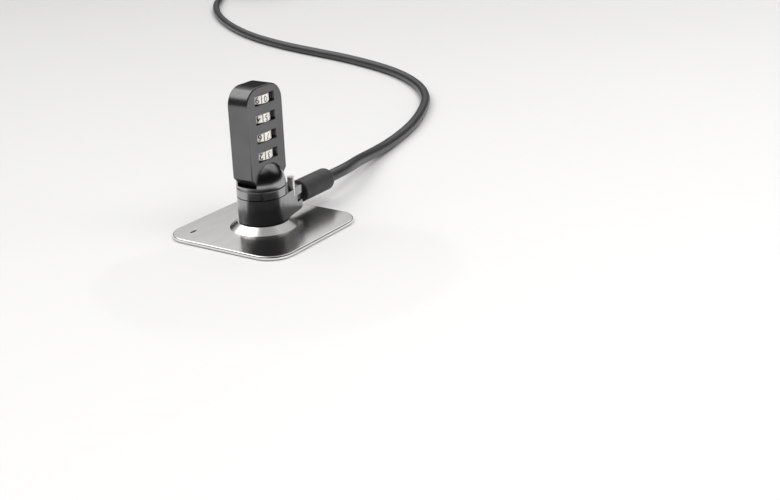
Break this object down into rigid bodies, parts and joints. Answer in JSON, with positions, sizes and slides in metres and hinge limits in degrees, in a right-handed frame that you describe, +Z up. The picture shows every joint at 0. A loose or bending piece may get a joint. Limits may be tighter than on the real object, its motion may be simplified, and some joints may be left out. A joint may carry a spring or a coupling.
{
  "type": "laptop cable lock",
  "caption": "Combination cable lock with flat dial body, swivel barrel and hinged steel cable, standing in an adhesive anchor plate.",
  "frame": {"origin": "middle of the underside of the anchor plate's pad, on the axis the lock turns about", "axes": "+Z up along the lock's axis, +X the way the cable ferrule points, -Y the way the digits face"},
  "size_m": [0.4754, 0.3703, 0.0502],
  "materials": {
    "polished_steel": "mirror-polished stainless",
    "foam_tape": "closed-cell foam tape",
    "black_chrome": "glossy black chrome",
    "body_black": "satin black plated zinc",
    "dial_cream": "cream plastic with dark digits",
    "bright_chrome": "bright chrome",
    "ferrule_grey": "dark grey moulded sleeve",
    "cable_jacket": "smooth dark grey jacket over steel strand",
    "inner_steel": "plain steel",
    "spring_steel": "spring steel",
    "washer_nylon": "black nylon",
    "sleeve_brass": "turned brass",
    "strap_black": "black hook-and-loop strap",
    "crimp_alu": "pressed aluminium"
  },
  "bodies": {
    "anchor": {"adhesive_pad": "foam_tape", "anchor_plate": "polished_steel", "nose_sleeve": "inner_steel", "index_collar": "black_chrome", "base_washer": "washer_nylon", "seam_washer": "washer_nylon"},
    "barrel": {"swivel_barrel": "black_chrome", "cable_hinge_pin": "black_chrome", "stop_pin": "bright_chrome"},
    "cable_end": {"hinge_eye": "black_chrome", "cable_ferrule": "ferrule_grey", "cable_run": "cable_jacket", "cable_coil": "cable_jacket", "coil_tie": "strap_black", "cable_tail": "cable_jacket", "loop_crimp": "crimp_alu", "end_loop": "cable_jacket"},
    "head": {"dome_cap": "black_chrome", "dial_housing": "body_black", "back_cover": "body_black", "cover_screws": "inner_steel", "base_screws": "inner_steel", "detent_spring": "spring_steel", "t_bar_spindle": "inner_steel", "spindle_nut": "inner_steel"},
    "bolt": {"dial_shaft": "inner_steel", "locking_finger": "inner_steel", "shaft_spring": "spring_steel"},
    "reset": {"reset_screw": "inner_steel"},
    "wheel_1": {"dial_1": "dial_cream", "clutch_sleeve_1": "sleeve_brass"},
    "wheel_2": {"dial_2": "dial_cream", "clutch_sleeve_2": "sleeve_brass"},
    "wheel_3": {"dial_3": "dial_cream", "clutch_sleeve_3": "sleeve_brass"},
    "wheel_4": {"dial_4": "dial_cream", "clutch_sleeve_4": "sleeve_brass"}
  },
  "joints": [
    {"name": "barrel_swivel", "type": "hinge", "parent": "anchor", "child": "barrel", "pos_m": [0, 0, 0.008], "axis": [0, 0, 1], "continuous": true},
    {"name": "cable_swing", "type": "hinge", "parent": "barrel", "child": "cable_end", "pos_m": [0.0137, -0.0016, 0.0082], "axis": [0, 0, 1], "range_deg": [-70, 60]},
    {"name": "head_turn", "type": "hinge", "parent": "anchor", "child": "head", "pos_m": [0, 0, 0.016], "axis": [0, 0, 1], "range_deg": [0, 90]},
    {"name": "dial_1_spin", "type": "hinge", "parent": "head", "child": "wheel_1", "pos_m": [0, 0.00065, 0.0457], "axis": [0, 0, 1], "continuous": true},
    {"name": "dial_2_spin", "type": "hinge", "parent": "head", "child": "wheel_2", "pos_m": [0, 0.00065, 0.0394], "axis": [0, 0, 1], "continuous": true},
    {"name": "dial_3_spin", "type": "hinge", "parent": "head", "child": "wheel_3", "pos_m": [0, 0.00065, 0.0331], "axis": [0, 0, 1], "continuous": true},
    {"name": "dial_4_spin", "type": "hinge", "parent": "head", "child": "wheel_4", "pos_m": [0, 0.00065, 0.0268], "axis": [0, 0, 1], "continuous": true},
    {"name": "bolt_lift", "type": "slide", "parent": "head", "child": "bolt", "axis": [0, 0, 1], "range_m": [0, 0.0015], "stiffness_N_per_m": 200, "springref_m": -0.002, "deforming": ["shaft_spring"]},
    {"name": "reset_turn", "type": "hinge", "parent": "head", "child": "reset", "pos_m": [-0.0056, 0.003, 0.02995], "axis": [0, 1, 0], "range_deg": [0, 90]}
  ]
}
